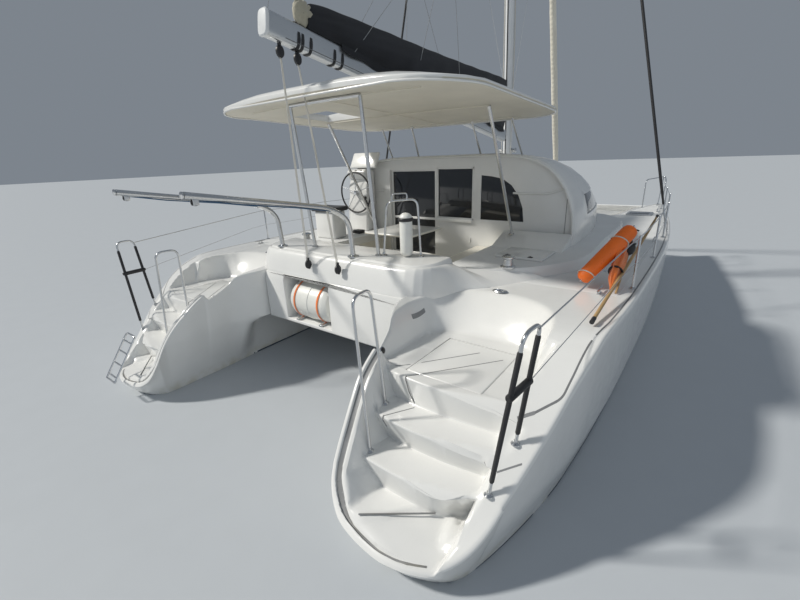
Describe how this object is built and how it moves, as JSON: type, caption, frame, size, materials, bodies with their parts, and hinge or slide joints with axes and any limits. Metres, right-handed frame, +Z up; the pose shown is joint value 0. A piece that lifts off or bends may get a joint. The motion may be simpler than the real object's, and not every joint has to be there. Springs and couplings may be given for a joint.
{
  "type": "sailing catamaran",
  "caption": "Cruising sailing catamaran with two hulls, stern stairs, a deckhouse, a hard-topped cockpit, a mast with a covered boom and a furled headsail.",
  "frame": {"origin": "on the centreline at the waterline, amidships", "axes": "+X towards the bow, +Y to port, +Z up"},
  "size_m": [11.61, 6.53, 18.35],
  "materials": {
    "gelcoat": "glossy white gelcoat",
    "engine_paint": "grey engine enamel",
    "antifouling": "matt dark blue antifouling",
    "bronze": "dull bronze",
    "glazing": "dark tinted acrylic",
    "stainless": "polished stainless steel",
    "spar_alloy": "clear anodised",
    "cover_fabric": "dark acrylic canvas",
    "sailcloth": "cream sailcloth",
    "netting": "white knotted net",
    "orange_foam": "orange float",
    "canister": "off-white moulding",
    "seat_vinyl": "black marine vinyl"
  },
  "bodies": {
    "root": {"hull_port": "gelcoat", "hull_starboard": "gelcoat", "bridge_deck": "gelcoat", "deck_coaming": "gelcoat", "deckhouse_shell": "gelcoat", "aft_wall": "gelcoat", "hard_top": "gelcoat", "bow_spine": "gelcoat", "helm_console": "gelcoat", "helm_seat_base": "gelcoat", "cockpit_table": "gelcoat", "engine_port": "engine_paint", "engine_starboard": "engine_paint", "drive_leg_port": "engine_paint", "drive_leg_starboard": "engine_paint", "keel_port": "antifouling", "keel_starboard": "antifouling", "side_window_port": "glazing", "side_window_starboard": "glazing", "front_window_port": "glazing", "front_window_starboard": "glazing", "centre_window": "glazing", "arch_window": "glazing", "top_frame": "stainless", "shroud_port": "stainless", "shroud_starboard": "stainless", "guardrail_port": "stainless", "guardrail_starboard": "stainless", "stair_rail_inner_port": "stainless", "stair_rail_inner_starboard": "stainless", "stair_rail_outer_port": "stainless", "stair_rail_outer_starboard": "stainless", "aft_rail": "stainless", "davit_port": "stainless", "davit_starboard": "stainless", "mast": "spar_alloy", "crossbeam": "spar_alloy", "furled_headsail": "sailcloth", "net_port": "netting", "net_starboard": "netting", "danbuoy_float": "orange_foam", "raft_canister": "canister", "fender": "canister", "helm_seat_pad": "seat_vinyl"},
    "propeller_port": {"propeller_port": "bronze"},
    "propeller_starboard": {"propeller_starboard": "bronze"},
    "rudder_port": {"rudder_port": "antifouling"},
    "rudder_starboard": {"rudder_starboard": "antifouling"},
    "steering_wheel": {"steering_wheel": "stainless"},
    "boom": {"boom": "spar_alloy", "sail_cover": "cover_fabric"},
    "saloon_door": {"saloon_door": "gelcoat", "saloon_door_glass": "glazing"},
    "engine_lid_port": {"engine_lid_port": "gelcoat"},
    "engine_lid_starboard": {"engine_lid_starboard": "gelcoat"},
    "side_hatch": {"side_hatch_starboard": "gelcoat"},
    "fore_hatch_port": {"fore_hatch_port": "glazing"},
    "fore_hatch_starboard": {"fore_hatch_starboard": "glazing"},
    "swim_ladder": {"swim_ladder": "stainless"}
  },
  "joints": [
    {"name": "propeller_port_spin", "type": "hinge", "parent": "root", "child": "propeller_port", "pos_m": [-3.1153, 2.43, -0.88], "axis": [1, 0, 0], "continuous": true},
    {"name": "propeller_starboard_spin", "type": "hinge", "parent": "root", "child": "propeller_starboard", "pos_m": [-3.1153, -2.43, -0.88], "axis": [1, 0, 0], "continuous": true},
    {"name": "rudder_port_turn", "type": "hinge", "parent": "root", "child": "rudder_port", "pos_m": [-4.595, 2.36, -0.6], "axis": [0, 0, 1], "range_deg": [-35, 35]},
    {"name": "rudder_starboard_turn", "type": "hinge", "parent": "root", "child": "rudder_starboard", "pos_m": [-4.595, -2.36, -0.6], "axis": [0, 0, 1], "range_deg": [-35, 35]},
    {"name": "wheel_turn", "type": "hinge", "parent": "root", "child": "steering_wheel", "pos_m": [-1.4753, 1.67, 2.3], "axis": [-1, 0, 0], "range_deg": [-360, 360]},
    {"name": "boom_swing", "type": "hinge", "parent": "root", "child": "boom", "pos_m": [1.35334, 0, 3.23], "axis": [-0.0715, 0, 0.9974], "range_deg": [-70, 70]},
    {"name": "saloon_door_slide", "type": "slide", "parent": "root", "child": "saloon_door", "axis": [0, -1, 0], "range_m": [0, 1]},
    {"name": "engine_lid_port_lift", "type": "hinge", "parent": "root", "child": "engine_lid_port", "pos_m": [-3.915, 2.12, 1.12], "axis": [0, 1, 0], "range_deg": [0, 80]},
    {"name": "engine_lid_starboard_lift", "type": "hinge", "parent": "root", "child": "engine_lid_starboard", "pos_m": [-3.915, -2.12, 1.12], "axis": [0, 1, 0], "range_deg": [0, 80]},
    {"name": "side_hatch_lift", "type": "hinge", "parent": "root", "child": "side_hatch", "pos_m": [-1.735, -1.81, 1.6003], "axis": [0, 1, 0], "range_deg": [0, 85]},
    {"name": "fore_hatch_port_lift", "type": "hinge", "parent": "root", "child": "fore_hatch_port", "pos_m": [3.775, 2.43, 1.4803], "axis": [0, 1, 0], "range_deg": [0, 85]},
    {"name": "fore_hatch_starboard_lift", "type": "hinge", "parent": "root", "child": "fore_hatch_starboard", "pos_m": [3.775, -2.43, 1.4803], "axis": [0, 1, 0], "range_deg": [0, 85]},
    {"name": "swim_ladder_fold", "type": "hinge", "parent": "root", "child": "swim_ladder", "pos_m": [-5.82, 2.17, 0.3], "axis": [0, -1, 0], "range_deg": [0, 215]}
  ],
  "couplings": [
    {"joint": "rudder_starboard_turn", "follows": "rudder_port_turn", "ratio": 1},
    {"joint": "wheel_turn", "follows": "rudder_port_turn", "ratio": 10.28}
  ]
}
